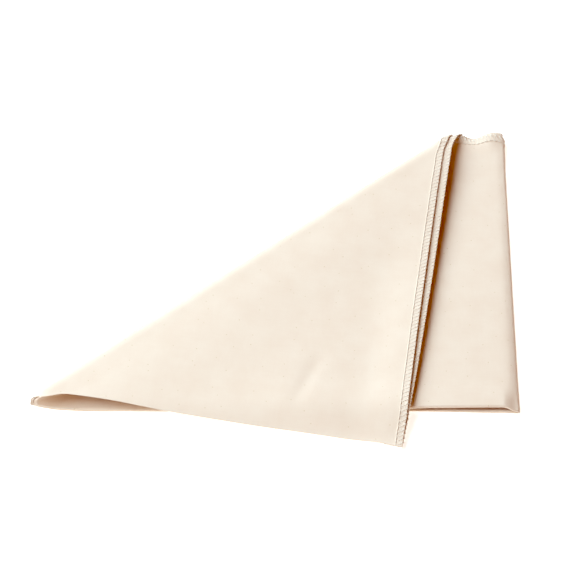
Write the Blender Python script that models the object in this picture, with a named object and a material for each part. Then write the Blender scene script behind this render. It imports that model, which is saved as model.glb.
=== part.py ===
"""Bakers couche: one canvas sheet with two overlocked long edges, folded for the shelf.

The sheet is folded in half lengthwise, then in half crosswise, and its open end is turned
over diagonally, so that it ends in a soft roll and a triangular flap. Metres, +Z up, the
strip's length along X, its folded front edge towards -Y.

The sheet is cut out flat, as a thin slab with a line wherever a bend begins or ends, and
every point of the slab is then carried through the three folds.
"""
import math

import bmesh
import bpy
import numpy as np
from mathutils import Vector

MM = 0.001

# The sheet
SHEET_LENGTH = 850 * MM
SHEET_WIDTH = 660 * MM
CANVAS_THICKNESS = 0.7 * MM
LAYER_GAP = 0.35 * MM

# The lengthwise fold, along the front
FRONT_BULGE = 0.45 * MM
FRONT_RUN = 26 * MM
FRONT_FALL_ANGLE = math.radians(25)
EDGE_SHIFT = 4.1 * MM
EDGE_SHIFT_RUN = 95 * MM
EDGE_RETURN_RUN = 40 * MM

# The crosswise fold, at the right
END_FOLD_EYE = 0.2 * MM
PRESSED_RUN = 12 * MM
SLOT_HEIGHT = 2.4 * MM
SLOT_REACH = 135 * MM
SLOT_RISE_RUN = 60 * MM

# The diagonal roll at the open end, and the flap that it turns over
DIAGONAL_ANGLE = math.radians(41.1)
DIAGONAL_SETBACK = 4.2 * MM
ROLL_RISE_ANGLE = math.radians(38)
ROLL_FALL_ANGLE = math.radians(5.4)
ROLL_RISE_RADIUS_FRONT = 21.5 * MM
ROLL_RISE_RADIUS_BACK = 17.5 * MM
ROLL_EYE_FRONT = 3.7 * MM
ROLL_EYE_BACK = 3.2 * MM
FLAP_GAP = 0.8 * MM
DROOP_RUN = 39 * MM

# The three threads of each overlocked edge
THREAD_GAP = 0.2 * MM
THREAD_THICKNESS = 0.15 * MM
THREAD_INSET = 0.5 * MM
LOOPER_WIDTH = 5.2 * MM
NEEDLE_GAP = 0.4 * MM
NEEDLE_WIDTH = 0.6 * MM
EDGE_ZONE = 18 * MM
EDGE_RISE_RUN = 14 * MM
FLOOR_CLEARANCE = 0.05 * MM

# Two cuts closer than this share their point
SNAP = 0.05 * MM

# How open a pressed fold still is, as a share of the bulge
SMALLEST_BULGE = 0.001

# Where the flat sheet has lines: shares of its half length, of the roll's turn and of its fall
LENGTH_SHARES = (0.0, 0.22)
TURN_SHARES = (0.0, 0.25, 0.5, 0.75, 1.0)
FALL_SHARES = (0.25, 0.6)
DROOP_SHARES = (0.0, 0.5, 1.0)

COLLECTION = "bakers_couche_cloth"

# Sizes that follow from those above
HALF_LENGTH = SHEET_LENGTH / 2
HALF_WIDTH = SHEET_WIDTH / 2
SKIN = CANVAS_THICKNESS / 2
SPACING = CANVAS_THICKNESS + LAYER_GAP
THREAD_BUILD = THREAD_GAP + THREAD_THICKNESS
FRONT_RADIUS = SPACING / 2 + FRONT_BULGE
END_RADIUS = SPACING / 2 + SKIN + THREAD_BUILD + END_FOLD_EYE
STACK_TOP = SKIN + SPACING + 2 * END_RADIUS
FRONT_LIFT = 4 * FRONT_BULGE
NEUTRAL = (STACK_TOP + FRONT_LIFT + SKIN) / 2
FRONT_FLAT = 3 * FRONT_RADIUS
PRESSED = END_RADIUS + SPACING
EDGE_START = HALF_WIDTH - EDGE_ZONE
SLOT_DEPTH = EDGE_START - EDGE_RISE_RUN
SEAM_WIDTH = THREAD_INSET + LOOPER_WIDTH + NEEDLE_GAP + NEEDLE_WIDTH
SEAM_START = HALF_WIDTH - SEAM_WIDTH - THREAD_INSET
EDGE_LIFT = THREAD_BUILD + FLOOR_CLEARANCE
EDGE_SPREAD = 2 * (SKIN + THREAD_BUILD) + THREAD_GAP - SPACING
DIAGONAL = np.array((math.cos(DIAGONAL_ANGLE), math.sin(DIAGONAL_ANGLE)))
OUTWARD = np.array((-math.sin(DIAGONAL_ANGLE), math.cos(DIAGONAL_ANGLE)))
DIAGONAL_LENGTH = HALF_WIDTH / math.sin(DIAGONAL_ANGLE)


def smooth(value):
    """Eases from 0 to 1 while value goes from 0 to 1."""
    value = np.clip(value, 0.0, 1.0)
    return value * value * (3 - 2 * value)


def follow(along, height, arcs):
    """Carries points of a level stack round arcs, each a radius and the angle that it turns.

    along is the distance past the first arc's start and height the one above the neutral
    line. Returns the distance reached from that start and the height above the line.
    """
    left = np.maximum(along, 0.0)
    reach = np.minimum(along, 0.0)
    rise = np.zeros_like(left)
    heading = np.zeros_like(left)
    for radius, turn in arcs:
        step = np.minimum(left, radius * abs(turn))
        radius = np.copysign(radius, turn)
        turned = heading + step / radius
        reach = reach + radius * (np.sin(turned) - np.sin(heading))
        rise = rise + radius * (np.cos(heading) - np.cos(turned))
        heading = turned
        left = left - step
    reach = reach + left * np.cos(heading) - height * np.sin(heading)
    rise = rise + left * np.sin(heading) + height * np.cos(heading)
    return reach, rise


def loop(rise_radius, rise_angle, turn_radius, fall_angle, end_height):
    """The arcs of a fold that rises, turns over and falls back to a level end_height."""
    top = rise_radius * (1 - math.cos(rise_angle))
    top = top + turn_radius * (math.cos(rise_angle) + np.cos(fall_angle))
    fall_radius = (top - end_height) / (1 - np.cos(fall_angle))
    turn = math.pi + fall_angle - rise_angle
    return ((rise_radius, rise_angle), (turn_radius, turn), (fall_radius, -fall_angle))


def arc_length(arcs):
    """How much cloth the arcs take up."""
    return sum(radius * abs(turn) for radius, turn in arcs)


def edge_shift(u):
    """How far the lengthwise fold lies off the sheet's middle, at u along the sheet."""
    first = EDGE_SHIFT * (1 - np.exp(-u / EDGE_SHIFT_RUN))
    second = EDGE_SHIFT * np.exp((HALF_LENGTH - u) / EDGE_RETURN_RUN)
    return np.where(u < HALF_LENGTH, first, second)


def lift(x, y):
    """How far the upper two layers stand off the lower two, at a place of the strip."""
    open_up = smooth((HALF_LENGTH - PRESSED - x) / PRESSED_RUN)
    front = FRONT_LIFT * (1 - smooth((y - FRONT_FLAT) / FRONT_RUN))
    slot = SLOT_HEIGHT * smooth((x - HALF_LENGTH + SLOT_REACH) / SLOT_RISE_RUN)
    return open_up * (front + slot * np.clip(1 - y / SLOT_DEPTH, 0.0, 1.0))


def edge_zone(y):
    """1 where the overlocked edges lie, 0 away from them."""
    return smooth((y - SLOT_DEPTH) / EDGE_RISE_RUN)


def edge_growth(inner, turned, y):
    """How far the overlock threads push a layer out along the strip, and up."""
    angle = math.pi * turned
    out = edge_zone(y) * EDGE_SPREAD * (1 - inner) * np.sin(angle)
    spread = EDGE_SPREAD * (inner + (1 - inner) * (1 - np.cos(angle)))
    return out, edge_zone(y) * (EDGE_LIFT + spread)


def stack_top(x, y):
    """Height in the strip of the middle of its top layer."""
    return STACK_TOP + lift(x, y) + edge_growth(0.0, 1.0, y)[1]


def off_diagonal(x, y):
    """How far a place of the strip lies outward of the diagonal, and how far along it."""
    x = x + DIAGONAL_SETBACK
    return x * OUTWARD[0] + y * OUTWARD[1], x * DIAGONAL[0] + y * DIAGONAL[1]


def roll_arcs(share):
    """The roll's arcs, at a share of the way from its front end to its back end."""
    rise_radius = ROLL_RISE_RADIUS_FRONT + (ROLL_RISE_RADIUS_BACK - ROLL_RISE_RADIUS_FRONT) * share
    turn_radius = NEUTRAL + ROLL_EYE_FRONT + (ROLL_EYE_BACK - ROLL_EYE_FRONT) * share
    flap_top = STACK_TOP + SKIN + FLAP_GAP + STACK_TOP
    return loop(rise_radius, ROLL_RISE_ANGLE, turn_radius, ROLL_FALL_ANGLE, flap_top - 2 * NEUTRAL + SKIN)


def roll_stations(arcs):
    """How far past the roll's start its facets begin and end."""
    stations = []
    for index, shares in enumerate(((0.0,), TURN_SHARES, FALL_SHARES + (1.0,))):
        start = arc_length(arcs[:index])
        stations += [start + share * arc_length(arcs[index:index + 1]) for share in shares]
    return stations


def follow_facets(past, height, arcs):
    """Carries points of a level stack round arcs, in flat facets."""
    reach, rise = follow(past, height, arcs)
    stations = roll_stations(arcs)
    for low, high in zip(stations, stations[1:]):
        share = (past - low) / np.maximum(high - low, SNAP)
        inside = (share > 0.0) & (share < 1.0)
        low_reach, low_rise = follow(low, height, arcs)
        high_reach, high_rise = follow(high, height, arcs)
        reach = np.where(inside, low_reach + share * (high_reach - low_reach), reach)
        rise = np.where(inside, low_rise + share * (high_rise - low_rise), rise)
    return reach, rise


def roll_start(arcs):
    """Where the roll starts, before the line that the flap is the mirror image about."""
    length = arc_length(arcs)
    reach, _ = follow(length, 0.0, arcs)
    return -(length + reach) / 2


def fold_lengthwise(y, height, u):
    """The sheet's y, with the fold at 0, to a place across the strip and a level."""
    bulge = smooth((abs(HALF_LENGTH - u) - PRESSED) / PRESSED_RUN)
    bulge = np.maximum(bulge, SMALLEST_BULGE)
    radius = SPACING / 2 + FRONT_BULGE * bulge
    arcs = loop(radius, 0.0, radius, FRONT_FALL_ANGLE * bulge, SPACING)
    reach, rise = follow(y + math.pi * radius / 2, height, arcs)
    return radius - reach, rise


def fold_crosswise(u, height):
    """The pair's u to a place along the strip, a level and how far it is round the fold."""
    arc = math.pi * END_RADIUS
    past = u - HALF_LENGTH + arc / 2
    reach, rise = follow(past, height - SPACING / 2, ((END_RADIUS, math.pi),))
    x = HALF_LENGTH - END_RADIUS - SPACING / 2 + reach
    return x, SKIN + SPACING / 2 + rise, np.clip(past / arc, 0.0, 1.0)


def fold_diagonally(x, y, z):
    """The strip, of four layers, to the strip with its open end rolled over as a flap."""
    outward, along = off_diagonal(x, y)
    arcs = roll_arcs(along / DIAGONAL_LENGTH)
    start = roll_start(arcs)
    past = outward - start
    reach, rise = follow_facets(past, z - NEUTRAL, arcs)
    turned = past > 0.0
    new_x = np.where(turned, along * DIAGONAL[0] + (start + reach) * OUTWARD[0] - DIAGONAL_SETBACK, x)
    new_y = np.where(turned, along * DIAGONAL[1] + (start + reach) * OUTWARD[1], y)
    top = stack_top(x, y)
    below = edge_zone(y) * EDGE_LIFT
    falling = arc_length(arcs[:2])
    settling = FALL_SHARES[-1] * arc_length(arcs[2:])
    settled = np.clip((past - falling) / settling, 0.0, 1.0)
    carried = lift(new_x, np.maximum(new_y, 0.0)) + top - STACK_TOP + below
    new_z = NEUTRAL + rise + settled * carried
    droop = smooth(-new_y / DROOP_RUN) * settled
    new_z = new_z + droop * (top - z + SKIN + below - new_z)
    return new_x, new_y, np.where(turned, new_z, z)


def fold(points):
    """Carries points of the flat sheet, as u, y and height off its middle, into the folds.

    inner is 0 for the two outer layers and 1 for the two inner ones, turned 0 for the lower
    pair and 1 for the upper pair.
    """
    u, y, height = points.T
    across, level = fold_lengthwise(y, height, u)
    _, middle = fold_lengthwise(y, 0.0 * height, u)
    inner = np.clip(middle / SPACING, 0.0, 1.0)
    along, z, turned = fold_crosswise(u, level)
    out, up = edge_growth(inner, turned, across)
    z = z + up + (turned > 0.5) * lift(along, across)
    return np.stack(fold_diagonally(along + out, across, z), axis=1)


def length_lines():
    """The lines across the strip, from its open end to the crosswise fold."""
    arc = math.pi * END_RADIUS
    lines = [share * HALF_LENGTH for share in LENGTH_SHARES]
    lines += [HALF_LENGTH - PRESSED - PRESSED_RUN, HALF_LENGTH - arc / 2, HALF_LENGTH - arc / 4]
    return lines + [HALF_LENGTH]


def width_lines():
    """The lines along the strip, from the lengthwise fold to the far edge."""
    arcs = loop(FRONT_RADIUS, 0.0, FRONT_RADIUS, FRONT_FALL_ANGLE, SPACING)
    bulge_end = arc_length(arcs) - math.pi * FRONT_RADIUS / 2
    lines = [0.0, FRONT_RADIUS, 2 * FRONT_RADIUS, bulge_end, FRONT_FLAT + FRONT_RUN]
    return lines + [SLOT_DEPTH, EDGE_START, SEAM_START, HALF_WIDTH]


def strip_place(outward, share):
    """The place on the strip at a distance outward of the diagonal, a share of the way along it."""
    place = DIAGONAL * DIAGONAL_LENGTH * share + OUTWARD * outward
    return np.array((place[0] - DIAGONAL_SETBACK, place[1]))


def mirrored(place):
    """The mirror image of a place on the strip about the diagonal."""
    offset = np.array((place[0] + DIAGONAL_SETBACK, place[1]))
    image = 2 * offset.dot(DIAGONAL) * DIAGONAL - offset
    return np.array((image[0] - DIAGONAL_SETBACK, image[1]))


def roll_lines():
    """The lines on the strip where facets of the roll begin, each as two places."""
    ends = []
    for share in (0.0, 1.0):
        arcs = roll_arcs(share)
        start = roll_start(arcs)
        ends.append([strip_place(start + past, share) for past in roll_stations(arcs)[:-1]])
    return list(zip(*ends))


def droop_lines():
    """The lines on the flap, before it is turned, that end up along its droop."""
    places = [-share * DROOP_RUN for share in DROOP_SHARES]
    return [[mirrored((x, y)) for x in (0.0, HALF_LENGTH)] for y in places]


def slot_lines():
    """The lines across the strip where the slot at its front starts and reaches its height."""
    places = [HALF_LENGTH - SLOT_REACH, HALF_LENGTH - SLOT_REACH + SLOT_RISE_RUN]
    return [[(x, y) for y in (0.0, HALF_WIDTH)] for x in places]


def cut(strip, line, on_flap=True, on_flat=True):
    """Cuts a flat strip along a line through two places, on the flap, the flat part or both."""
    faces = []
    for face in strip.faces:
        middle = face.calc_center_median()
        outward, along = off_diagonal(middle.x, middle.y)
        flat = outward < roll_start(roll_arcs(along / DIAGONAL_LENGTH))
        if (on_flap and not flat) or (on_flat and flat):
            faces.append(face)
    edges = {edge.index: edge for face in faces for edge in face.edges}
    verts = {vert.index: vert for face in faces for vert in face.verts}
    start = Vector((*line[0], 0.0))
    normal = (Vector((*line[1], 0.0)) - start).cross(Vector((0.0, 0.0, 1.0))).normalized()
    geometry = faces + list(edges.values()) + list(verts.values())
    bmesh.ops.bisect_plane(strip, geom=geometry, dist=SNAP, plane_co=start, plane_no=normal)
    for elements in (strip.verts, strip.edges, strip.faces):
        elements.index_update()


def flat_strip(across, side, second):
    """One layer of the strip, flat, between lines across, on its own quarter of the sheet."""
    along = length_lines()
    strip = bmesh.new()
    columns = len(along) - 1
    rows = len(across) - 1
    bmesh.ops.create_grid(strip, x_segments=columns, y_segments=rows, size=1)
    for vert in strip.verts:
        x = along[round((vert.co.x + 1) / 2 * columns)]
        y = across[round((vert.co.y + 1) / 2 * rows)]
        if y > EDGE_START + SNAP:
            y += side * float(edge_shift(SHEET_LENGTH - x if second else x))
        vert.co = (x, y, 0.0)
    for elements in (strip.verts, strip.edges, strip.faces):
        elements.index_update()
    for line in roll_lines():
        cut(strip, line)
    for line in droop_lines():
        cut(strip, line, on_flat=False)
    for line in slot_lines():
        cut(strip, line, on_flap=False)
    bmesh.ops.triangulate(strip, faces=strip.faces[:], quad_method="FIXED")
    for vert in strip.verts:
        vert.co.x = SHEET_LENGTH - vert.co.x if second else vert.co.x
        vert.co.y *= side
    return strip


def flat_slab(across, sides, bottom, top):
    """A flat slab between two heights, of the layers on the given sides of the sheet."""
    slab = bmesh.new()
    for side in sides:
        for second in (False, True):
            strip = flat_strip(across, side, second)
            layer = bpy.data.meshes.new("layer")
            strip.to_mesh(layer)
            strip.free()
            slab.from_mesh(layer)
            bpy.data.meshes.remove(layer)
    bmesh.ops.remove_doubles(slab, verts=slab.verts[:], dist=SNAP)
    bmesh.ops.recalc_face_normals(slab, faces=slab.faces[:])
    for vert in slab.verts:
        vert.co.z = bottom
    extruded = bmesh.ops.extrude_face_region(slab, geom=slab.faces[:], use_keep_orig=True)
    for element in extruded["geom"]:
        if isinstance(element, bmesh.types.BMVert):
            element.co.z = top
    return slab


def folded_object(name, sheet, material, collection):
    """Folds a flat slab and makes it an object."""
    points = np.array([vert.co[:] for vert in sheet.verts])
    for vert, place in zip(sheet.verts, fold(points)):
        vert.co = place
    bmesh.ops.triangulate(sheet, faces=sheet.faces[:])
    bmesh.ops.recalc_face_normals(sheet, faces=sheet.faces[:])
    mesh = bpy.data.meshes.new(name)
    sheet.to_mesh(mesh)
    sheet.free()
    mesh.materials.append(material)
    result = bpy.data.objects.new(name, mesh)
    collection.objects.link(result)
    return result


def matte(name, colour, roughness):
    """A matte material without metal."""
    material = bpy.data.materials.new(name)
    material.use_nodes = True
    shader = material.node_tree.nodes["Principled BSDF"]
    shader.inputs["Base Color"].default_value = (*colour, 1.0)
    shader.inputs["Roughness"].default_value = roughness
    shader.inputs["Metallic"].default_value = 0.0
    material.diffuse_color = (*colour, 1.0)
    return material


def canvas_panel(collection):
    """The single woven sheet."""
    material = matte("unbleached_cotton_canvas", (0.91, 0.80, 0.66), 0.9)
    sheet = flat_slab(width_lines(), (-1, 1), -SKIN, SKIN)
    return folded_object("canvas_panel", sheet, material, collection)


def overlock_threads(letter, side, material, collection):
    """The needle thread and both looper threads of one long edge."""
    near = SKIN + THREAD_GAP
    far = near + THREAD_THICKNESS
    edge = HALF_WIDTH - THREAD_INSET
    stitch = HALF_WIDTH - SEAM_WIDTH
    threads = []
    for kind, lines, bottom, top in (
        ("needle_thread", (stitch, stitch + NEEDLE_WIDTH), -far, -near),
        ("upper_looper", (edge - LOOPER_WIDTH, edge), -far, -near),
        ("lower_looper", (edge - LOOPER_WIDTH, edge), near, far),
    ):
        band = flat_slab(lines, (side,), bottom, top)
        threads.append(folded_object(kind + "_" + letter, band, material, collection))
    return threads


def stand_on_origin(pieces):
    """Moves the pieces so that the middle of their box's underside is the origin."""
    corners = np.array([vert.co[:] for piece in pieces for vert in piece.data.vertices])
    low = corners.min(axis=0)
    high = corners.max(axis=0)
    offset = Vector((-(low[0] + high[0]) / 2, -(low[1] + high[1]) / 2, 0.0))
    for piece in pieces:
        for vert in piece.data.vertices:
            vert.co += offset
    print("Box in mm:", [round(float(size) / MM, 2) for size in high - low])
    print("Strip's corner in mm:", [round(value / MM, 3) for value in offset])


def main():
    for old in list(bpy.data.objects):
        bpy.data.objects.remove(old, do_unlink=True)
    collection = bpy.data.collections.new(COLLECTION)
    bpy.context.scene.collection.children.link(collection)
    thread = matte("polyester_thread", (0.93, 0.86, 0.76), 0.6)
    pieces = [canvas_panel(collection)]
    for letter, side in (("a", -1), ("b", 1)):
        pieces += overlock_threads(letter, side, thread, collection)
    stand_on_origin(pieces)
    for piece in pieces:
        print(piece.name, len(piece.data.polygons), "triangles")


main()
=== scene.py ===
# %% [markdown]
# A baker's couche, folded for the shelf
#
# A couche is the canvas on which shaped loaves prove. This one is a single sheet of
# unbleached cotton, 850 by 660 mm, with an overlock seam along both long edges. It is
# folded in half lengthwise, then crosswise, and its open end is turned over as a flap.
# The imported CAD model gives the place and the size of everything, so it is loaded first.

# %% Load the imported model
import math

import bmesh
import bpy
import numpy as np
from mathutils import Matrix, Vector


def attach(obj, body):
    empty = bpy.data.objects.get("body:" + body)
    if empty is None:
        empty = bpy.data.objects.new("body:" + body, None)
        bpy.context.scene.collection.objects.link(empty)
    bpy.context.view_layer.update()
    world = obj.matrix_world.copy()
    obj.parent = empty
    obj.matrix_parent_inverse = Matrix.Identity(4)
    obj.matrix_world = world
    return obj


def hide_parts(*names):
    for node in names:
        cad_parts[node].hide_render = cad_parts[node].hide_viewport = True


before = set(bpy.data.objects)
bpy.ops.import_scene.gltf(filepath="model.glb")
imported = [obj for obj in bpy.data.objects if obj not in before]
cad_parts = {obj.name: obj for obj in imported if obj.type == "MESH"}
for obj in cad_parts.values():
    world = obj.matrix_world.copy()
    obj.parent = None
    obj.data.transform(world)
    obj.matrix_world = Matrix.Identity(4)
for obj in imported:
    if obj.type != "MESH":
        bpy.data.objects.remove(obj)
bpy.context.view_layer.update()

# %% [markdown]
# Three helpers serve every finish. Colours are given as sRGB hex, as in a paint program,
# but shaders add light up in linear values, so one function converts them. Another adds a
# shader node, sets its sockets and links what feeds it. The last starts a new material.

# %% Colour and node helpers
def linear(code):
    """An sRGB hex colour as linear red, green, blue and alpha."""
    shares = [int(code[i:i + 2], 16) / 255 for i in (1, 3, 5)]
    return (*[s / 12.92 if s <= 0.04045 else ((s + 0.055) / 1.055) ** 2.4 for s in shares], 1.0)


def node(material, kind, settings=None, **sockets):
    """Adds a node. A socket goes by its name, with _ for a space, or by _ and its number.
    It is given a value, or the output of another node, which is then linked to it."""
    made = material.node_tree.nodes.new(kind)
    for name, value in (settings or {}).items():
        setattr(made, name, value)
    for name, value in sockets.items():
        label = name.replace("_", " ")
        socket = made.inputs[int(label[1:])] if label[1:].isdigit() else made.inputs[label]
        if isinstance(value, bpy.types.NodeSocket):
            material.node_tree.links.new(value, socket)
        else:
            socket.default_value = value
    return made


def empty_material(name):
    """A material that has no nodes yet."""
    made = bpy.data.materials.new(name)
    made.use_nodes = True
    made.node_tree.nodes.clear()
    return made


print("Unbleached cotton, linear:", [round(share, 3) for share in linear("#F0DFCC")[:3]])

# %% [markdown]
# The sheet and its folds have real sizes, in millimetres here, and they are those of the
# CAD model. Four layers of canvas lie on each other with a little air between them. The
# crosswise fold turns two layers over onto the other two, and its radius has to leave
# room for the seams, which are thicker than the plain canvas.

# %% The sheet and its layers, in millimetres
METRE = 1000.0
SHEET_LENGTH, SHEET_WIDTH = 850.0, 660.0
CANVAS_THICKNESS, LAYER_GAP = 0.7, 0.35
THREAD_BUILD, THREAD_SPACE = 0.35, 0.2
END_FOLD_EYE = 0.2

HALF_LENGTH, HALF_WIDTH, SKIN = SHEET_LENGTH / 2, SHEET_WIDTH / 2, CANVAS_THICKNESS / 2
SPACING = CANVAS_THICKNESS + LAYER_GAP
END_RADIUS = SPACING / 2 + SKIN + THREAD_BUILD + END_FOLD_EYE
STACK_TOP = SKIN + SPACING + 2 * END_RADIUS
print("Four layers stack up to", round(STACK_TOP + SKIN, 2), "mm")

# %% [markdown]
# Cloth can be simulated, but a fold pressed by hand keeps exact lines that a simulation
# loses. So this sheet stays a flat drawing, and a rule carries each of its points through
# the folds. A fold is a path of arcs. The function follow walks a point along the arcs and
# keeps its height over them. The layers of a stack share the path, so their ends stay in
# line. An outer layer then comes out up to about a centimetre longer than it was cut, and
# an inner one shorter. Over the whole sheet that evens out, and its area stays true.

# %% Walking along a fold
def smooth(value):
    """Eases from 0 to 1 while value goes from 0 to 1."""
    value = np.clip(value, 0.0, 1.0)
    return value * value * (3 - 2 * value)


def follow(along, height, arcs):
    """Carries points of a level stack round arcs, each a radius and the angle that it turns."""
    left = np.maximum(along, 0.0)
    reach = np.minimum(along, 0.0)
    rise = np.zeros_like(left)
    heading = np.zeros_like(left)
    for radius, turn in arcs:
        step = np.minimum(left, radius * abs(turn))
        radius = np.copysign(radius, turn)
        turned = heading + step / radius
        reach = reach + radius * (np.sin(turned) - np.sin(heading))
        rise = rise + radius * (np.cos(heading) - np.cos(turned))
        heading = turned
        left = left - step
    reach = reach + left * np.cos(heading) - height * np.sin(heading)
    return reach, rise + left * np.sin(heading) + height * np.cos(heading)


half_round = follow(np.array(math.pi * END_RADIUS), 0.0, ((END_RADIUS, math.pi),))
print("The crosswise fold stands", round(float(half_round[1]), 2), "mm high")

# %% The arcs of a fold
def loop(rise_radius, rise_angle, turn_radius, fall_angle, end_height):
    """The arcs of a fold that rises, turns over and falls back to a level end_height."""
    top = rise_radius * (1 - math.cos(rise_angle))
    top = top + turn_radius * (math.cos(rise_angle) + np.cos(fall_angle))
    fall_radius = (top - end_height) / (1 - np.cos(fall_angle))
    turn = math.pi + fall_angle - rise_angle
    return ((rise_radius, rise_angle), (turn_radius, turn), (fall_radius, -fall_angle))


def arc_length(arcs):
    """How much cloth the arcs take up."""
    return sum(radius * abs(turn) for radius, turn in arcs)


print("A half circle of 1 mm takes", round(arc_length(((1.0, math.pi),)), 2), "mm of cloth")

# %% [markdown]
# Handled canvas is never dead flat. A few broad, low waves lift the folded strip and the
# flap by up to a millimetre or so, and the soft light picks out faint dents. They move
# all the layers of a stack together, so that no layer cuts into the next. The flap also
# has two soft creases, each a place, a lean, a half length and a depth.

# %% Broad waves and soft creases of the handled cloth
def waves(x, y, seed, count, shortest, longest):
    """Waves between 0 and 1 over a place in millimetres, from a few crossing ripples."""
    chance = np.random.default_rng(seed)
    total = np.zeros_like(x)
    weight = 0.0
    for _ in range(count):
        length = chance.uniform(shortest, longest)
        angle = chance.uniform(0, math.pi)
        phase = chance.uniform(0, 2 * math.pi)
        turn = 2 * math.pi * (x * math.cos(angle) + y * math.sin(angle)) / length + phase
        total = total + length * np.sin(turn)
        weight += length
    return 0.5 + 0.5 * total / weight


CREASES = ((241.0, 26.4, math.radians(-24), 32.0, 1.0),
           (150.6, 65.0, math.radians(-9), 26.0, 0.6))
CREASE_WIDTH = 6.0
CREASE_FULL_SHARE = 0.3


def creases(x, y):
    """How deep the soft creases are. Each is full in its middle and fades to its ends."""
    total = 0.0
    for middle_x, middle_y, lean, reach, depth in CREASES:
        beside = (x - middle_x) * math.cos(lean) + (y - middle_y) * math.sin(lean)
        along = (y - middle_y) * math.cos(lean) - (x - middle_x) * math.sin(lean)
        fade = 1 - smooth(abs(along) / reach - CREASE_FULL_SHARE)
        total = total + depth * np.exp(-(beside / CREASE_WIDTH) ** 2) * fade
    return total


STRIP_WAVE_HEIGHT, FLAP_WAVE_HEIGHT = 0.7, 1.3


def strip_waves(x, y):
    """How far the waves lift the whole strip."""
    return STRIP_WAVE_HEIGHT * waves(x, y, seed=11, count=7, shortest=60, longest=190)


def flap_waves(x, y):
    """How far the waves lift the flap off the strip, less its creases."""
    return FLAP_WAVE_HEIGHT * waves(x, y, seed=23, count=9, shortest=45, longest=170) - creases(x, y)


print("A wave's lift at one place:", round(float(flap_waves(np.array(150.0), np.array(40.0))), 2), "mm")

# %% [markdown]
# The three folds come one after the other, as hands make them: lengthwise, crosswise and
# diagonal. No hand folds quite straight, and no stack stays quite closed. The first fold
# lies a few millimetres off the sheet's middle. The upper two layers stand a little off
# the lower two, which opens the slot that shows at the front. The threads of the seams
# spread the layers at their far edges.

# %% How far the first fold lies off the middle
EDGE_SHIFT, EDGE_SHIFT_RUN, EDGE_RETURN_RUN = 4.1, 95.0, 40.0


def edge_shift(u):
    """How far the lengthwise fold lies off the sheet's middle, at u along the sheet."""
    first = EDGE_SHIFT * (1 - np.exp(-u / EDGE_SHIFT_RUN))
    second = EDGE_SHIFT * np.exp(np.minimum(HALF_LENGTH - u, 0.0) / EDGE_RETURN_RUN)
    return np.where(u < HALF_LENGTH, first, second)


print("The first fold lies", round(float(edge_shift(np.array(300.0))), 2), "mm off at 300 mm")

# %% How far the layers stand apart
FRONT_BULGE, FRONT_RUN = 0.45, 26.0
FRONT_RADIUS, FRONT_LIFT = SPACING / 2 + FRONT_BULGE, 4 * FRONT_BULGE
LOOSE_START, LOOSE_RUN = 160.0, 140.0
PRESSED, PRESSED_RUN = END_RADIUS + SPACING, 12.0
ROUND_RUN, ROUND_START = 15.0, 30.0
SLOT_HEIGHT, SLOT_REACH, SLOT_RISE_RUN = 2.4, 135.0, 60.0
EDGE_ZONE, EDGE_RISE_RUN = 14.0, 38.0
EDGE_START = HALF_WIDTH - EDGE_ZONE
SLOT_DEPTH = EDGE_START - EDGE_RISE_RUN


def loose(x):
    """How loose the front fold is: pressed under the flap, and 1 where it lies free."""
    return smooth((x - LOOSE_START) / LOOSE_RUN)


def open_up(x, y):
    """How far the layers may part: less and less towards the crosswise fold, which is round."""
    front = smooth((HALF_LENGTH - PRESSED - x) / PRESSED_RUN)
    past = np.clip((x - HALF_LENGTH + ROUND_RUN) / ROUND_RUN, 0.0, 1.0)
    return front + (np.sqrt(1 - past * past) - front) * smooth(y / ROUND_START)


def lift(x, y):
    """How far the upper two layers stand off the lower two, at a place of the strip."""
    front = FRONT_LIFT * loose(x) * (1 - smooth((y - 3 * FRONT_RADIUS) / FRONT_RUN))
    slot = SLOT_HEIGHT * smooth((x - HALF_LENGTH + SLOT_REACH) / SLOT_RISE_RUN)
    return open_up(x, y) * (front + slot * np.clip(1 - y / SLOT_DEPTH, 0.0, 1.0))


print("The slot at the front is", round(float(lift(np.array(380.0), np.array(0.0))), 2), "mm high")

# %% How far the seams' threads spread the layers
FLOOR_CLEARANCE = 0.05
EDGE_LIFT = THREAD_BUILD + FLOOR_CLEARANCE
EDGE_SPREAD = 2 * (SKIN + THREAD_BUILD) + THREAD_SPACE - SPACING


def edge_growth(inner, turned, y):
    """How far the overlock threads push a layer out along the strip, and up."""
    zone = smooth((y - SLOT_DEPTH) / EDGE_RISE_RUN)
    angle = math.pi * turned
    out = zone * EDGE_SPREAD * (1 - inner) * np.sin(angle)
    spread = EDGE_SPREAD * (inner + (1 - inner) * (1 - np.cos(angle)))
    return out, zone * (EDGE_LIFT + spread)


print("The threads part two layers by", round(EDGE_SPREAD, 2), "mm more than the canvas does")

# %% Fold lengthwise, then crosswise
FRONT_FALL = math.radians(25)
LEAST_BULGE = 0.001


def fold_lengthwise(y, height, u):
    """The sheet's y, with the fold at 0, to a place across the strip and a level."""
    x = HALF_LENGTH - abs(HALF_LENGTH - u)
    bulge = np.maximum(open_up(x, 0.0) * loose(x), LEAST_BULGE)
    radius = SPACING / 2 + FRONT_BULGE * bulge
    arcs = loop(radius, 0.0, radius, FRONT_FALL * bulge, SPACING)
    reach, rise = follow(y + math.pi * radius / 2, height, arcs)
    return radius - reach, rise


def fold_crosswise(u, height):
    """The pair's u to a place along the strip, a level and how far it is round the fold."""
    arc = math.pi * END_RADIUS
    past = u - HALF_LENGTH + arc / 2
    reach, rise = follow(past, height - SPACING / 2, ((END_RADIUS, math.pi),))
    x = HALF_LENGTH - END_RADIUS - SPACING / 2 + reach
    return x, SKIN + SPACING / 2 + rise, np.clip(past / arc, 0.0, 1.0)


print("The strip's end lies at", round(float(fold_crosswise(np.array(HALF_LENGTH), 0.0)[0]), 1), "mm")

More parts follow.
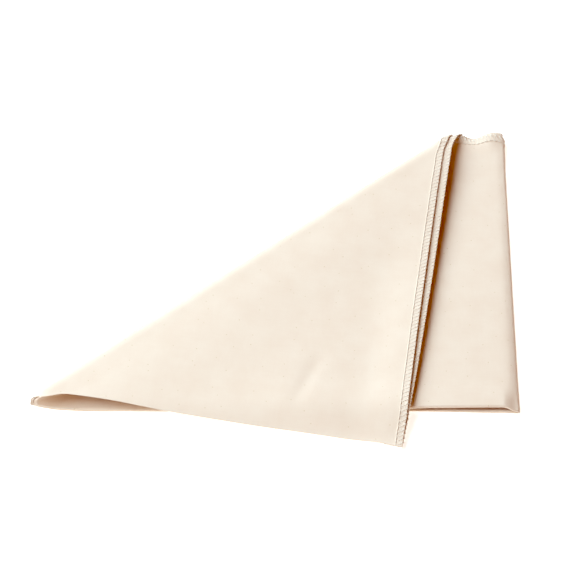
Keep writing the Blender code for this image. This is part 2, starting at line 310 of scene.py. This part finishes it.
# %% [markdown]
# The open end is turned over along a diagonal. Four layers cannot turn sharply, so they
# make a soft roll: a wide rise, a tight turn and a long, slow fall onto the strip. The
# roll's neutral line runs through the middle of the stack. At the front the flap hangs
# over the strip's edge and droops to the floor.

# %% The diagonal roll
NEUTRAL = (STACK_TOP + FRONT_LIFT + SKIN) / 2
DIAGONAL_ANGLE, DIAGONAL_SETBACK = math.radians(41.1), 4.2
DIAGONAL = np.array((math.cos(DIAGONAL_ANGLE), math.sin(DIAGONAL_ANGLE)))
OUTWARD = np.array((-math.sin(DIAGONAL_ANGLE), math.cos(DIAGONAL_ANGLE)))
DIAGONAL_LENGTH = HALF_WIDTH / math.sin(DIAGONAL_ANGLE)
ROLL_RISE_ANGLE, ROLL_FALL_ANGLE = math.radians(38), math.radians(5.4)
ROLL_RISE_RADII, ROLL_EYES = (21.5, 17.5), (3.7, 3.2)
FLAP_GAP = 0.8


def roll_arcs(share):
    """The diagonal roll's arcs, at a share of the way from its front end to its back end."""
    rise_radius = ROLL_RISE_RADII[0] + (ROLL_RISE_RADII[1] - ROLL_RISE_RADII[0]) * share
    turn_radius = NEUTRAL + ROLL_EYES[0] + (ROLL_EYES[1] - ROLL_EYES[0]) * share
    flap_top = STACK_TOP + SKIN + FLAP_GAP + STACK_TOP
    end_height = flap_top - 2 * NEUTRAL + SKIN
    return loop(rise_radius, ROLL_RISE_ANGLE, turn_radius, ROLL_FALL_ANGLE, end_height)


front_roll = float(arc_length(roll_arcs(0.0)[:2]))
print("Cloth in the front end of the roll:", round(front_roll, 1), "mm")

# %% The roll's far end and the flap's crown
CROWN, CROWN_RUN, CROWN_LEAN = 1.4, 100.0, 0.7
FLARE, FLARE_START, FLARE_RUN = 11.0, 285.0, 45.0
FLARE_DROP, FLARE_DROP_START = 0.8, 320.0
FLARE_EARLY, FLARE_FADE = 14.0, 22.0
FLARE_HEADING, FLARE_TURN = math.radians(45), math.radians(70)


def crown(past, arcs):
    """How far the flap swells up beside the roll, where four layers spring back."""
    inside = np.clip((past - arc_length(arcs[:2])) / CROWN_RUN, 0.0, 1.0)
    return CROWN * np.sin(math.pi * inside ** CROWN_LEAN) ** 2


def over_the_top(past, arcs):
    """A share that is 1 on top of the roll, and 0 under it and out on the flap."""
    rising = arcs[0][0] * arcs[0][1]
    heading = np.clip(past / rising, 0.0, 1.0) * arcs[0][1]
    heading = heading + np.clip((past - rising) / arcs[1][0], 0.0, arcs[1][1])
    over = 1 - smooth((past - rising - arcs[1][0] * arcs[1][1] + FLARE_EARLY) / FLARE_FADE)
    return over * smooth((heading - FLARE_HEADING) / FLARE_TURN)


print("The crown stands", round(float(crown(front_roll + CROWN_RUN / 3, roll_arcs(0.0))), 2), "mm up")

# %% Fold diagonally
DROOP_RUN, SETTLE_SHARE = 39.0, 0.6


def fold_diagonally(x, y, z, gape):
    """The strip, of four layers, to the strip with its open end rolled over as a flap."""
    outward = (x + DIAGONAL_SETBACK) * OUTWARD[0] + y * OUTWARD[1]
    along = (x + DIAGONAL_SETBACK) * DIAGONAL[0] + y * DIAGONAL[1]
    arcs = roll_arcs(along / DIAGONAL_LENGTH)
    length = arc_length(arcs)
    start = -(length + follow(length, 0.0, arcs)[0]) / 2
    past = outward - start
    turned = past > 0.0
    reach, rise = follow(past, z - NEUTRAL, arcs)
    new_x = np.where(turned, along * DIAGONAL[0] + (start + reach) * OUTWARD[0] - DIAGONAL_SETBACK, x)
    new_y = np.where(turned, along * DIAGONAL[1] + (start + reach) * OUTWARD[1], y)
    # The flap settles on what is under it, and its own layers add their lift.
    top = STACK_TOP + lift(x, y) + strip_waves(x, y) + edge_growth(0.0, 1.0, y)[1]
    below = smooth((y - SLOT_DEPTH) / EDGE_RISE_RUN) * EDGE_LIFT
    settled = smooth((past - arc_length(arcs[:2])) / (SETTLE_SHARE * arc_length(arcs[2:])))
    under = lift(new_x, np.maximum(new_y, 0.0)) + strip_waves(new_x, new_y)
    new_z = NEUTRAL + rise + settled * (under + top - STACK_TOP + below)
    # In front of the strip it droops until its lowest layer lies on the floor.
    droop = smooth(-new_y / DROOP_RUN) * settled
    new_z = new_z + droop * (top - z + SKIN + below - new_z)
    new_z = new_z + settled * (gape + flap_waves(new_x, new_y))
    new_z = new_z + crown(past, arcs)
    # The roll's far end flares outwards and sinks.
    over = over_the_top(past, arcs)
    flare = FLARE * over * smooth((y - FLARE_START) / FLARE_RUN)
    new_x = new_x + flare * DIAGONAL[0]
    new_y = new_y + flare * DIAGONAL[1]
    new_z = new_z - FLARE_DROP * over * np.maximum(y - FLARE_DROP_START, 0.0)
    return np.where(turned, new_x, x), np.where(turned, new_y, y), np.where(turned, new_z, z)


flap = fold_diagonally(np.array(0.0), np.array(HALF_WIDTH), np.array(STACK_TOP), 0.0)
print("A corner turned over lands at", [round(float(way), 1) for way in flap])

# %% [markdown]
# One function does all the folding. Its input is a place on the flat sheet, in millimetres:
# u along it, v across it from the middle, and the height off its middle face. The rules
# before it are the small faults of a cloth folded by hand, each kept to its own corner:
# uneven ends, a bowed front, a tucked corner, a curled one and a seam that gapes.

# %% The plain ends and the strip's round end
END_RAKE, END_RAKE_RUN = 1.15, 100.0
NOSE_GROWTH = -1.0
END_STEPS = ((0, 10, 5.0), (16, 22, -5.8), (60, 70, 1.8), (225, 80, 1.5), (304, 26, 2.6))
CURL_IN, CURL_IN_REACH, CURL_IN_START, CURL_IN_FADE = 2.2, 7.0, 8.0, 16.0
NOSE_SWELL, NOSE_SWELL_RUN, NOSE_SWELL_START, NOSE_SWELL_FADE = 0.6, 10.0, 10.0, 30.0
ROUND_OFF, ROUND_OFF_RUN, ROUND_OFF_END, ROUND_OFF_FADE = 0.3, 9.0, 290.0, 30.0


def end_growth(y):
    """How much longer the cloth is at its short ends, from the nose to the flap's corner."""
    return NOSE_GROWTH + sum(change * smooth((y - start) / run) for start, run, change in END_STEPS)


def nose_curl(x, y):
    """How far the short ends bend into the roll at its front end."""
    curl = CURL_IN * np.clip(1 - x / CURL_IN_REACH, 0.0, 1.0) ** 2
    return curl * (1 - smooth((y - CURL_IN_START) / CURL_IN_FADE))


def nose_swell(u, v):
    """How many times as thick the cut ends are at the roll's front end, where they fray."""
    swell = 1 - smooth((HALF_LENGTH - abs(u)) / NOSE_SWELL_RUN)
    return 1 + NOSE_SWELL * swell * (1 - smooth((abs(v) - NOSE_SWELL_START) / NOSE_SWELL_FADE))


def round_off(x, y):
    """What share of its height the strip keeps towards the crosswise fold, where it was pressed."""
    pressed = np.clip((x - HALF_LENGTH) / ROUND_OFF_RUN + 1, 0.0, 1.0) ** 2
    return 1 - ROUND_OFF * pressed * (1 - smooth((y - ROUND_OFF_END) / ROUND_OFF_FADE))


print("At the nose the cloth ends", round(float(-end_growth(np.array(0.0))), 1), "mm early")

# %% The front folds
PAIR_SHIFT, PAIR_SHIFT_START, PAIR_SHIFT_RUN, PAIR_SHIFT_DEPTH = 1.4, 5.0, 30.0, 150.0
PAIR_RETURN, PAIR_RETURN_START, PAIR_RETURN_RUN = 2.8, 320.0, 90.0
BOW, BOW_START, BOW_RUN, BOW_DEPTH = 2.4, 10.0, 40.0, 80.0
BOW_FADE_START, BOW_FADE = 250.0, 170.0


def pair_shift(x, turned):
    """How far a pair's front fold lies back: the lower pair's lies askew under the upper one's."""
    lower = PAIR_SHIFT * smooth((x - PAIR_SHIFT_START) / PAIR_SHIFT_RUN)
    lower = lower - PAIR_RETURN * smooth((x - PAIR_RETURN_START) / PAIR_RETURN_RUN)
    return lower * (1 - smooth(turned) * open_up(x, 0.0))


def front_bow(x, y):
    """How far the front edge bows outwards along the strip."""
    bow = BOW * smooth((x - BOW_START) / BOW_RUN) * (1 - smooth((x - BOW_FADE_START) / BOW_FADE))
    return bow * np.clip(1 - y / BOW_DEPTH, 0.0, 1.0)


print("The front edge bows by", round(float(front_bow(np.array(200.0), np.array(0.0))), 1), "mm")

# %% The far edge and its corners
FAR_START, FAR_RUN = 290.0, 40.0
CORNER_TUCK, CORNER_TUCK_RUN, INNER_TUCK = 1.4, 30.0, 0.6
DIP, DIP_PLACE, DIP_SIZE = 2.6, 396.0, 10.0
CURL_HEIGHT, CURL_PLACE, CURL_SIZE = 5.0, (414.0, 330.0), 14.0
SEAM_GAPE, SEAM_GAPE_RUN = 1.5, 42.0
LEAST_GAPE, GAPE_RISE_RUN = 0.25, 60.0
END_DRAWN_IN, DRAWN_IN_START, DRAWN_IN_RUN = 1.9, 385.0, 40.0


def corner_tuck(x, y, v):
    """How far the far edge is drawn in: at the flap's tip, and all along the inner half, v over 0."""
    tuck = CORNER_TUCK * (1 - smooth(x / CORNER_TUCK_RUN)) + INNER_TUCK * (v > 0.0)
    return tuck * smooth((y - FAR_START) / FAR_RUN)


def far_dip(x, y):
    """The dip in the far edge beside the curled corner."""
    return DIP * np.exp(-((x - DIP_PLACE) / DIP_SIZE) ** 2) * smooth((y - FAR_START) / FAR_RUN)


def corner_curl(x, y):
    """The curled corner at the far end of the crosswise fold."""
    away = ((x - CURL_PLACE[0]) ** 2 + (y - CURL_PLACE[1]) ** 2) / CURL_SIZE ** 2
    return CURL_HEIGHT * np.exp(-away)


def seam_gape(x, y, outer):
    """How far the flap's top layer, which was the strip's lowest, stands off at its seam."""
    gape = outer * SEAM_GAPE * smooth((y - HALF_WIDTH + SEAM_GAPE_RUN) / SEAM_GAPE_RUN)
    return gape * (LEAST_GAPE + (1 - LEAST_GAPE) * smooth(x / GAPE_RISE_RUN))


print("The far corner curls up by", round(float(corner_curl(*CURL_PLACE)), 1), "mm")

# %% From the flat sheet to the folded one
STRIP_CORNER = np.array((-213.215, -146.754, 0.0))    # in the frame of the CAD model
SHIFT_START, SHIFT_RUN = 60.0, 200.0


def fold(u, v, height):
    """Places on the flat sheet, in millimetres, to places in the scene, in metres."""
    height = height * nose_swell(u, v)
    y = v + edge_shift(u) * smooth((abs(v) - SHIFT_START) / SHIFT_RUN)
    across, level = fold_lengthwise(y, height, u)
    middle = fold_lengthwise(y, 0.0 * height, u)[1]
    x, z, turned = fold_crosswise(u, level)
    out, up = edge_growth(np.clip(middle / SPACING, 0.0, 1.0), turned, across)
    held_back = (END_RAKE * (z - SKIN) - end_growth(across)) * (1 - smooth(x / END_RAKE_RUN))
    x = x + out + held_back
    across = across + pair_shift(x, turned) * np.clip(1 - across / PAIR_SHIFT_DEPTH, 0.0, 1.0)
    across = across - front_bow(x, across)
    across = across - corner_tuck(x, across, v)
    across = across - far_dip(x, across)
    z = (z + up + (turned > 0.5) * lift(x, across)) * round_off(x, across) + strip_waves(x, across)
    z = z + corner_curl(x, across) * z / STACK_TOP + nose_curl(x, across)
    outer = (u < HALF_LENGTH) & (v < 0.0)
    x, y, z = fold_diagonally(x, across, z, seam_gape(x, across, outer))
    x = x - END_DRAWN_IN * smooth((x - DRAWN_IN_START) / DRAWN_IN_RUN)
    return (np.stack((x, y, z), axis=1) + STRIP_CORNER) / METRE


print("A corner of the sheet lands at", fold(*np.array([[0.0], [-HALF_WIDTH], [0.0]])).round(4))

# %% [markdown]
# The cloth itself is a grid over the flat sheet, on both of its faces, joined round the
# rim. The lines lie closer together where the cloth bends sharply, at the two pressed
# folds and at the seams, and a few millimetres apart elsewhere.

# %% Lines of the grid
U_STOPS, U_STEPS = [0, 8, HALF_LENGTH - 16, HALF_LENGTH - 4], [1.6, 4.3, 1.5]
U_FOLD_STEP = 0.4
V_STOPS, V_STEPS = [0, 6, 30, EDGE_START, HALF_WIDTH], [0.45, 2.4, 3.9, 2.2]


def spaced(stops, steps):
    """Lines from stop to stop, each stretch cut into steps of about the given size."""
    lines = [np.array(stops[:1])]
    for low, high, step in zip(stops, stops[1:], steps):
        count = max(1, round((high - low) / step))
        lines.append(np.linspace(low, high, count + 1)[1:])
    return np.concatenate(lines)


u_lines = spaced(U_STOPS, U_STEPS)
u_lines = np.concatenate((u_lines, spaced([U_STOPS[-1], HALF_LENGTH], [U_FOLD_STEP])[1:]))
u_lines = np.concatenate((u_lines, SHEET_LENGTH - u_lines[-2::-1]))
v_lines = spaced(V_STOPS, V_STEPS)
v_lines = np.concatenate((-v_lines[:0:-1], v_lines))
print("The grid has", len(u_lines), "by", len(v_lines), "lines")

# %% Mesh helpers
SHARP = math.radians(60)


def mesh_object(name, points, faces, material):
    """A smooth-shaded mesh object."""
    mesh = bpy.data.meshes.new(name)
    mesh.from_pydata(points.tolist(), [], faces)
    mesh.polygons.foreach_set("use_smooth", [True] * len(mesh.polygons))
    mesh.materials.append(material)
    made = bpy.data.objects.new(name, mesh)
    bpy.context.collection.objects.link(made)
    return made


def sharpen(piece):
    """Keeps the shading crisp where two faces meet at a sharp edge, and counts such edges."""
    mesh = bmesh.new()
    mesh.from_mesh(piece.data)
    sharp = [edge for edge in mesh.edges if edge.calc_face_angle(0.0) > SHARP]
    for edge in sharp:
        edge.smooth = False
    mesh.to_mesh(piece.data)
    mesh.free()
    return len(sharp)


print("Edges over", round(math.degrees(SHARP)), "degrees stay crisp")

# %% [markdown]
# Both faces of the canvas come from the same grid, one half a thickness under the middle
# and one as much over it. A band of faces joins them round the rim. The flat place of
# each point is kept as a UV map in metres, so that the weave follows the yarns.

# %% The canvas as a folded grid
def folded_canvas(material):
    """The whole sheet, folded."""
    grid = np.stack(np.meshgrid(u_lines, v_lines, indexing="ij"), axis=-1).reshape(-1, 2)
    size = len(grid)
    height = np.repeat((-SKIN, SKIN), size)
    points = fold(np.tile(grid[:, 0], 2), np.tile(grid[:, 1], 2), height)
    index = np.arange(size).reshape(len(u_lines), len(v_lines))
    quads = np.stack((index[:-1, :-1], index[1:, :-1], index[1:, 1:], index[:-1, 1:]), axis=-1)
    quads = quads.reshape(-1, 4)
    rim = np.concatenate((index[:-1, 0], index[-1, :-1], index[:0:-1, -1], index[0, :0:-1]))
    following = np.roll(rim, -1)
    sides = np.stack((following, rim, rim + size, following + size), axis=-1)
    faces = np.concatenate((quads[:, ::-1], quads + size, sides[:, ::-1]))
    sheet = mesh_object("couche_canvas", points, faces.tolist(), material)
    flat = sheet.data.uv_layers.new(name="flat_sheet")
    corners = np.empty(len(sheet.data.loops), dtype=np.int32)
    sheet.data.loops.foreach_get("vertex_index", corners)
    flat.data.foreach_set("uv", (grid[corners % size] / METRE + (0.0, HALF_WIDTH / METRE)).ravel())
    print("Crisp edges:", sharpen(sheet))
    return sheet


# %% [markdown]
# Unbleached cotton duck is a plain weave of thick spun yarns. It is off-white and quite
# matt, with thick and thin yarns, called slubs, and a few specks of seed husk. The weave
# of such a canvas repeats about every 0.6 mm, below one pixel of the picture, so it is
# drawn at 1.1 mm, as coarse as it needs to be to show as a fine grain. Two crossing waves
# raise the yarns, stretched noise gives the slubs, a broader noise the faint patches of
# tone, and cells cut off low the specks.

# %% Yarns and slubs
YARN_PITCH = 0.0011
WAVE_PITCH = math.pi / 10    # what Blender's wave texture repeats at, in metres, at scale 1
SLUB_LENGTH = 0.014


def weave_height(material, place):
    """The crossing yarns: 1 on top of a yarn, and 0 in the gaps."""
    ways = [node(material, "ShaderNodeTexWave", {"bands_direction": direction}, Vector=place,
                 Scale=WAVE_PITCH / YARN_PITCH, Distortion=0.6, Detail=1.0, Detail_Scale=1.0)
            for direction in "XY"]
    return node(material, "ShaderNodeMath", {"operation": "MULTIPLY"},
                _0=ways[0].outputs[1], _1=ways[1].outputs[1]).outputs[0]


def slub_height(material, place):
    """Long thin streaks both ways, for yarns spun thick and thin."""
    yarns_per_metre = 1 / (2 * YARN_PITCH)
    streaks = []
    for scale in ((1 / SLUB_LENGTH, yarns_per_metre, 1.0), (yarns_per_metre, 1 / SLUB_LENGTH, 1.0)):
        way = node(material, "ShaderNodeMapping", Vector=place, Scale=scale).outputs[0]
        streaks.append(node(material, "ShaderNodeTexNoise", {"noise_dimensions": "2D"},
                            Vector=way, Scale=1.0, Detail=2.0).outputs[0])
    return node(material, "ShaderNodeMath", {"operation": "ADD"},
                _0=streaks[0], _1=streaks[1]).outputs[0]


print("Yarns drawn every", YARN_PITCH * METRE, "mm, slubs about", SLUB_LENGTH * METRE, "mm long")

# %% Patches of tone and specks of husk
COTTON_DARK, COTTON_LIGHT, HUSK = "#F0DFCC", "#F3E4D2", "#DDCBAA"
PATCHES_PER_METRE, SLUB_TONE = 45.0, 0.2
SPECK_SPACING = 0.021
SPECK_RIM_PER_METRE, SPECK_RIM = 900.0, 0.03
SPECK_EDGE, SPECK_HEART = 0.045, 0.025    # as shares of the spacing between specks


def cotton_tone(material, place, slub):
    """The two creams of raw cotton, mixed in patches and streaks."""
    patch = node(material, "ShaderNodeTexNoise", {"noise_dimensions": "2D"},
                 Vector=place, Scale=PATCHES_PER_METRE, Detail=4.0).outputs[0]
    tone = node(material, "ShaderNodeMath", {"operation": "MULTIPLY_ADD"},
                _0=slub, _1=SLUB_TONE, _2=patch).outputs[0]
    share = node(material, "ShaderNodeMapRange", Value=tone, From_Min=0.45, From_Max=0.95).outputs[0]
    return node(material, "ShaderNodeMix", {"data_type": "RGBA"},
                _0=share, _6=linear(COTTON_DARK), _7=linear(COTTON_LIGHT)).outputs[2]


def husk_specks(material, place, cloth):
    """The cloth's colour with a small uneven speck of husk in each cell."""
    cells = node(material, "ShaderNodeTexVoronoi", {"voronoi_dimensions": "2D"},
                 Vector=place, Scale=1 / SPECK_SPACING, Randomness=1.0).outputs["Distance"]
    uneven = node(material, "ShaderNodeTexNoise", {"noise_dimensions": "2D"},
                  Vector=place, Scale=SPECK_RIM_PER_METRE, Detail=1.0).outputs[0]
    away = node(material, "ShaderNodeMath", {"operation": "MULTIPLY_ADD"},
                _0=uneven, _1=SPECK_RIM, _2=cells).outputs[0]
    speck = node(material, "ShaderNodeMapRange", Value=away,
                 From_Min=SPECK_EDGE, From_Max=SPECK_HEART).outputs[0]
    return node(material, "ShaderNodeMix", {"data_type": "RGBA"},
                _0=speck, _6=cloth, _7=linear(HUSK)).outputs[2]


print("Specks about every", SPECK_SPACING * METRE, "mm, patches of",
      round(METRE / PATCHES_PER_METRE), "mm")

# %% [markdown]
# Cotton fibre has an IOR near 1.5, but a loose weave of it shows almost no gloss, so the
# roughness is high and the specular level low. A little sheen stands for the fuzz of fine
# fibres on its face, which brightens the cloth where it turns away from the eye.

# %% Unbleached cotton duck
SLUB_BUMP, BUMP_STRENGTH, BUMP_HEIGHT = 0.4, 0.35, 0.00012


def cotton_duck():
    """The woven canvas."""
    made = empty_material("unbleached_cotton_duck")
    place = node(made, "ShaderNodeUVMap", {"uv_map": "flat_sheet"}).outputs["UV"]
    slub = slub_height(made, place)
    grain = node(made, "ShaderNodeMath", {"operation": "MULTIPLY_ADD"},
                 _0=slub, _1=SLUB_BUMP, _2=weave_height(made, place)).outputs[0]
    bump = node(made, "ShaderNodeBump", Height=grain,
                Strength=BUMP_STRENGTH, Distance=BUMP_HEIGHT).outputs[0]
    colour = husk_specks(made, place, cotton_tone(made, place, slub))
    shader = node(made, "ShaderNodeBsdfPrincipled", Base_Color=colour, Roughness=0.92, Normal=bump,
                  IOR=1.5, Specular_IOR_Level=0.25, Sheen_Weight=0.15, Sheen_Roughness=0.6)
    node(made, "ShaderNodeOutputMaterial", Surface=shader.outputs[0])
    return made


duck = cotton_duck()
print(duck.name, "has", len(duck.node_tree.nodes), "nodes")

# %% The canvas in its place
canvas = folded_canvas(duck)
print("Canvas:", len(canvas.data.polygons), "faces")
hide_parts("canvas_panel")
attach(canvas, "root")

# %% [markdown]
# An overlock seam has three threads. Two loopers lace to and fro over the edge, the upper
# one on the outer face and the lower one on the inner face, and lock round each other on
# the rim as small beads. The needle thread runs in short dashes along the seam's inner
# line and ties both loopers down. Each thread is one long tube, drawn stitch by stitch on
# the flat sheet and then folded with it, because painted stitches would not stand proud.

# %% A thread as a tube
TUBE_SIDES = 6
NO_THREADS_WAY = (0.31, 0.17, 0.93)    # a direction that no thread runs in


def tube(name, path, radii, material):
    """A thread as a tube along a path in metres, with a radius for each of its points."""
    ahead = np.gradient(path, axis=0)
    ahead /= np.linalg.norm(ahead, axis=1, keepdims=True)
    side = np.cross(ahead, NO_THREADS_WAY)
    side /= np.linalg.norm(side, axis=1, keepdims=True)
    over = np.cross(side, ahead)
    turn = np.arange(TUBE_SIDES) * 2 * math.pi / TUBE_SIDES
    ring = side[:, None] * np.cos(turn)[:, None] + over[:, None] * np.sin(turn)[:, None]
    points = (path[:, None] + ring * radii[:, None, None]).reshape(-1, 3)
    index = np.arange(len(points)).reshape(-1, TUBE_SIDES)
    beside = np.roll(index, -1, 1)
    quads = np.stack((index[:-1], beside[:-1], beside[1:], index[1:]), axis=-1)
    faces = quads.reshape(-1, 4).tolist() + [index[0, ::-1].tolist(), index[-1].tolist()]
    return mesh_object(name, points, faces, material)


print("A thread is a tube of", TUBE_SIDES, "sides")

# %% Stitches along a seam, in millimetres
STITCH, THREAD_RADIUS = 4.3, 0.36
UNEVEN_ALONG, UNEVEN_ACROSS = 0.10, 0.09
END_MARGIN = 0.3


def stitched(pattern, seed):
    """Repeats one stitch along the seam, as (share of the stitch, inset, height, thickness)."""
    chance = np.random.default_rng(seed)
    count = round(SHEET_LENGTH / STITCH)
    pitch = SHEET_LENGTH / count
    rows = np.tile(np.array(pattern), (count, 1))
    number = np.repeat(np.arange(count), len(pattern))
    u = (number + rows[:, 0]) * pitch + chance.normal(0, UNEVEN_ALONG, len(rows))
    inset = rows[:, 1] + chance.normal(0, UNEVEN_ACROSS, len(rows))
    keys = np.stack((u, inset, rows[:, 2], rows[:, 3]), axis=1)
    keys = keys[(u > END_MARGIN) & (u < SHEET_LENGTH - END_MARGIN)]
    # Twice as many points, each eased towards its neighbours, make the thread bend softly.
    steps = np.arange(len(keys))
    fine = np.arange(0, len(keys) - 1, 0.5)
    middle = np.stack([np.interp(fine, steps, column) for column in keys.T], axis=1)
    middle[1:-1] = 0.5 * middle[1:-1] + 0.25 * (middle[2:] + middle[:-2])
    return middle


print("Stitches on each seam:", round(SHEET_LENGTH / STITCH))

# %% The path of each thread in one stitch, in millimetres
ON_FACE = SKIN - 0.03
ON_TOP = ON_FACE + THREAD_RADIUS
LOOPER = ((0.00, 6.1, ON_FACE, 0.7), (0.30, 4.4, ON_FACE, 0.8), (0.62, 2.3, ON_FACE, 1.0),
          (0.88, 0.8, ON_FACE, 1.7), (1.00, -0.25, 0.20, 2.0), (1.08, 0.6, ON_FACE - 0.05, 1.5),
          (1.04, 3.2, ON_FACE - 0.10, 0.6))
NEEDLE = ((0.00, 6.0, ON_TOP, 1.0), (0.25, 6.0, ON_TOP, 1.0), (0.40, 6.0, SKIN, 1.0),
          (0.47, 6.0, -ON_FACE, 0.75), (0.53, 6.0, -ON_FACE, 0.75), (0.60, 6.0, SKIN, 1.0),
          (0.75, 6.0, ON_TOP, 1.0))
LOWER_LOOPER_SUNK = 0.08
print("A looper has", len(LOOPER), "points a stitch, the needle thread", len(NEEDLE))

# %% [markdown]
# Sewing thread for seams like these is spun polyester or cotton. It is whiter than the
# canvas, soft and a little hairy, so it is matt with some sheen. Its plies and hairs are
# about 0.1 mm across, too fine for the picture, so a noise of about 0.4 mm stands for them.

# %% Spun sewing thread
FLUFF_PER_METRE, FLUFF_STRENGTH, FLUFF_HEIGHT = 2600.0, 0.5, 0.0001
THREAD_SHADE, THREAD_WHITE = "#E9DECD", "#F7F0E3"


def sewing_thread():
    """The seams' spun thread."""
    made = empty_material("spun_sewing_thread")
    place = node(made, "ShaderNodeTexCoord").outputs["Object"]
    fluff = node(made, "ShaderNodeTexNoise", Vector=place, Scale=FLUFF_PER_METRE, Detail=2.0).outputs[0]
    shade = node(made, "ShaderNodeMix", {"data_type": "RGBA"},
                 _0=fluff, _6=linear(THREAD_SHADE), _7=linear(THREAD_WHITE)).outputs[2]
    bump = node(made, "ShaderNodeBump", Height=fluff,
                Strength=FLUFF_STRENGTH, Distance=FLUFF_HEIGHT).outputs[0]
    shader = node(made, "ShaderNodeBsdfPrincipled", Base_Color=shade, Roughness=0.75, Normal=bump,
                  Sheen_Weight=0.2, Sheen_Roughness=0.5)
    node(made, "ShaderNodeOutputMaterial", Surface=shader.outputs[0])
    return made


thread = sewing_thread()
print(thread.name, "has", len(thread.node_tree.nodes), "nodes")

# %% [markdown]
# Each long edge has its own three threads. The needle thread and the upper looper lie on
# the face that the first fold leaves outside, and the lower looper on the other. A seed
# for each thread makes its stitches uneven in their own way, the same way on every run.

# %% Sew both edges
FIRST_SEED = 5
KINDS = (("needle_thread", NEEDLE, -1), ("upper_looper", LOOPER, -1), ("lower_looper", LOOPER, 1))

threads = []
for letter, side in (("a", -1), ("b", 1)):
    for kind, pattern, face in KINDS:
        keys = stitched(pattern, FIRST_SEED + len(threads))
        if kind == "lower_looper":
            keys[:, 2] = keys[:, 2] - LOWER_LOOPER_SUNK
        path = fold(keys[:, 0], side * (HALF_WIDTH - keys[:, 1]), face * keys[:, 2])
        piece = tube(kind + "_stitches_" + letter, path, keys[:, 3] * THREAD_RADIUS / METRE, thread)
        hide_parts(kind + "_" + letter)
        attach(piece, "root")
        threads.append(piece)
        print(piece.name, len(piece.data.polygons), "faces")

print("Declared:", canvas.name, "with", len(threads), "threads sewn to it")

# %% [markdown]
# The cloth lies on a plain white floor that runs on past the view. The floor is painted a
# clean matt white. It also glows a little, as a light table does, so that it stays white
# in the picture while the cloth is lit softly.

# %% White studio floor
FLOOR_REACH, FLOOR_GLOW = 4.0, 0.6


def matt_paint():
    """The floor's matt white paint."""
    made = empty_material("matt_white_paint")
    shader = node(made, "ShaderNodeBsdfPrincipled", Base_Color=linear("#FAFAFA"), Roughness=0.9,
                  Specular_IOR_Level=0.1, Emission_Color=linear("#FFFFFF"),
                  Emission_Strength=FLOOR_GLOW)
    node(made, "ShaderNodeOutputMaterial", Surface=shader.outputs[0])
    return made


floor_corners = FLOOR_REACH * np.array([(-1, -1, 0), (1, -1, 0), (1, 1, 0), (-1, 1, 0)], float)
floor = mesh_object("studio_floor", floor_corners, [[0, 1, 2, 3]], matt_paint())
print("Floor:", 2 * FLOOR_REACH, "m square")

# %% [markdown]
# Two cool soft boxes stand high, one at the left and a weaker one at the back left, and
# the room round them gives a warm, orange fill. Where the boxes reach the cloth it looks
# cream. In the folds and along the edges on the right little but the warm fill is left, so
# the shadows turn brown, as in the photograph. The black level deepens them a little more.

# %% Soft studio light
DAYLIGHT = (0.84, 1.02, 1.17)
ROOM_COLOUR, ROOM_STRENGTH = (1.0, 0.62, 0.3, 1.0), 0.27
BLACK_LEVEL = (0.03, 0.085, 0.07)


def soft_light(name, place, size, watts):
    """A square soft box aimed at the cloth."""
    light = bpy.data.lights.new(name, "AREA")
    light.size = size
    light.energy = watts
    light.color = DAYLIGHT
    made = bpy.data.objects.new(name, light)
    made.location = place
    made.rotation_euler = (-Vector(place)).to_track_quat("-Z", "Y").to_euler()
    bpy.context.collection.objects.link(made)
    print(name, "gives", watts, "W from", round(Vector(place).length, 1), "m")


soft_light("soft_box_left", place=(-1.9, -0.15, 2.2), size=2.8, watts=107)
soft_light("soft_box_back", place=(-0.8, 1.7, 1.7), size=1.4, watts=25)

# %% Warm room and the view's tones
scene = bpy.context.scene
scene.world = bpy.data.worlds.new("warm_room")
scene.world.use_nodes = True
room = scene.world.node_tree.nodes["Background"]
room.inputs["Color"].default_value = ROOM_COLOUR
room.inputs["Strength"].default_value = ROOM_STRENGTH
scene.view_settings.view_transform = "Standard"
scene.view_settings.use_curve_mapping = True
scene.view_settings.curve_mapping.black_level = BLACK_LEVEL
scene.view_settings.curve_mapping.update()
print("Room fill:", ROOM_STRENGTH)

# %% [markdown]
# The camera stands far off with a long lens, looking down at about 48 degrees. Its place,
# tilt and lens were worked out from the corners and edges of the cloth in the photograph.
# The lens came out in pixels, so it is turned into millimetres by the sensor's width over
# the picture's width.

# %% Camera at the photograph's viewing angle
ELEVATION, YAW, CAMERA_ROLL = math.radians(47.714), math.radians(0.337), math.radians(-0.037)
AIM = Vector((222.90, 144.07, 0.0)) / METRE + Vector(STRIP_CORNER / METRE)
DISTANCE, FOCAL_PIXELS = 2.7161, 3035.57
SENSOR_WIDTH, PICTURE_WIDTH = 36.0, 576
FARTHEST = 20.0

camera = bpy.data.objects.new("camera", bpy.data.cameras.new("camera"))
bpy.context.collection.objects.link(camera)
level = math.cos(ELEVATION)
back = Vector((math.sin(YAW) * level, -math.cos(YAW) * level, math.sin(ELEVATION)))
right = Vector((math.cos(YAW), math.sin(YAW), 0.0))
up = back.cross(right)
turned_right = math.cos(CAMERA_ROLL) * right + math.sin(CAMERA_ROLL) * up
turned_up = -math.sin(CAMERA_ROLL) * right + math.cos(CAMERA_ROLL) * up
axes = Matrix((turned_right, turned_up, back)).transposed()
camera.matrix_world = Matrix.Translation(AIM + back * DISTANCE) @ axes.to_4x4()
camera.data.sensor_width = SENSOR_WIDTH
camera.data.lens = SENSOR_WIDTH * FOCAL_PIXELS / PICTURE_WIDTH
camera.data.clip_end = FARTHEST
scene.camera = camera
print("Lens:", round(camera.data.lens, 1), "mm")
